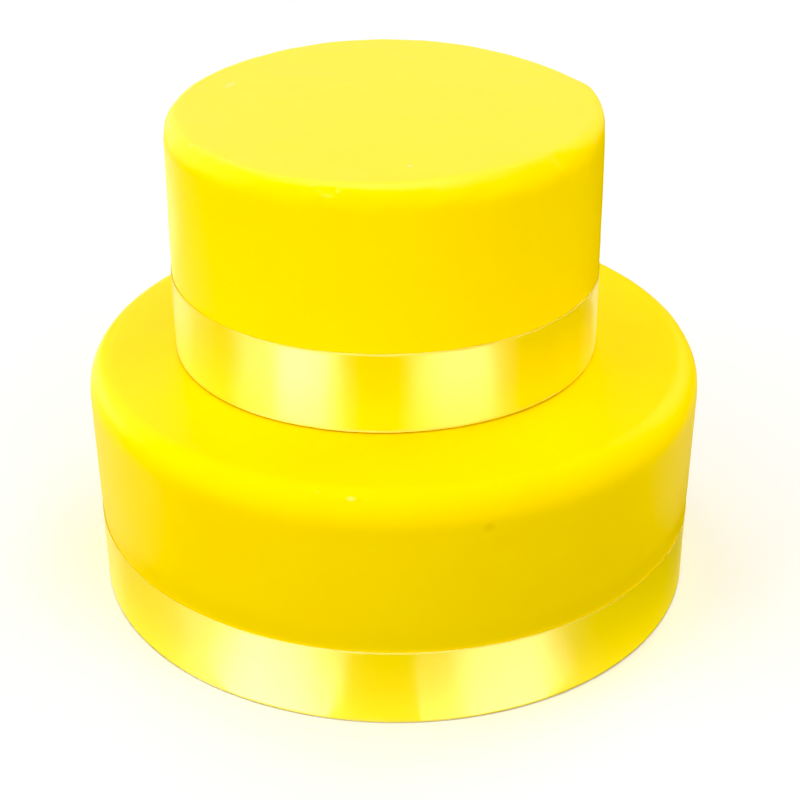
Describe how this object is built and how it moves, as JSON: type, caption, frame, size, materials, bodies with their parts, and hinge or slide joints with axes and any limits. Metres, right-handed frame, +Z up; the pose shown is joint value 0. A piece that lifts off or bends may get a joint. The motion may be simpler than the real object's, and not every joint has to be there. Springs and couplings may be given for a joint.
{
  "type": "celebration cake",
  "caption": "Round celebration cake: a small tier on a larger one, both covered in smooth yellow sugar paste, each with a yellow satin ribbon round its foot.",
  "frame": {"origin": "middle of the lower tier's base, where the cake stands", "axes": "+Z up, -Y towards the front, +X to the right seen from the front"},
  "size_m": [0.261, 0.2596, 0.2085],
  "materials": {
    "sugar_paste": "smooth rolled sugar paste, soft satin sheen",
    "satin": "yellow satin ribbon, bright bands of sheen across its width"
  },
  "bodies": {
    "root": {"lower_tier": "sugar_paste", "upper_tier": "sugar_paste", "lower_ribbon": "satin", "upper_ribbon": "satin"}
  },
  "joints": []
}
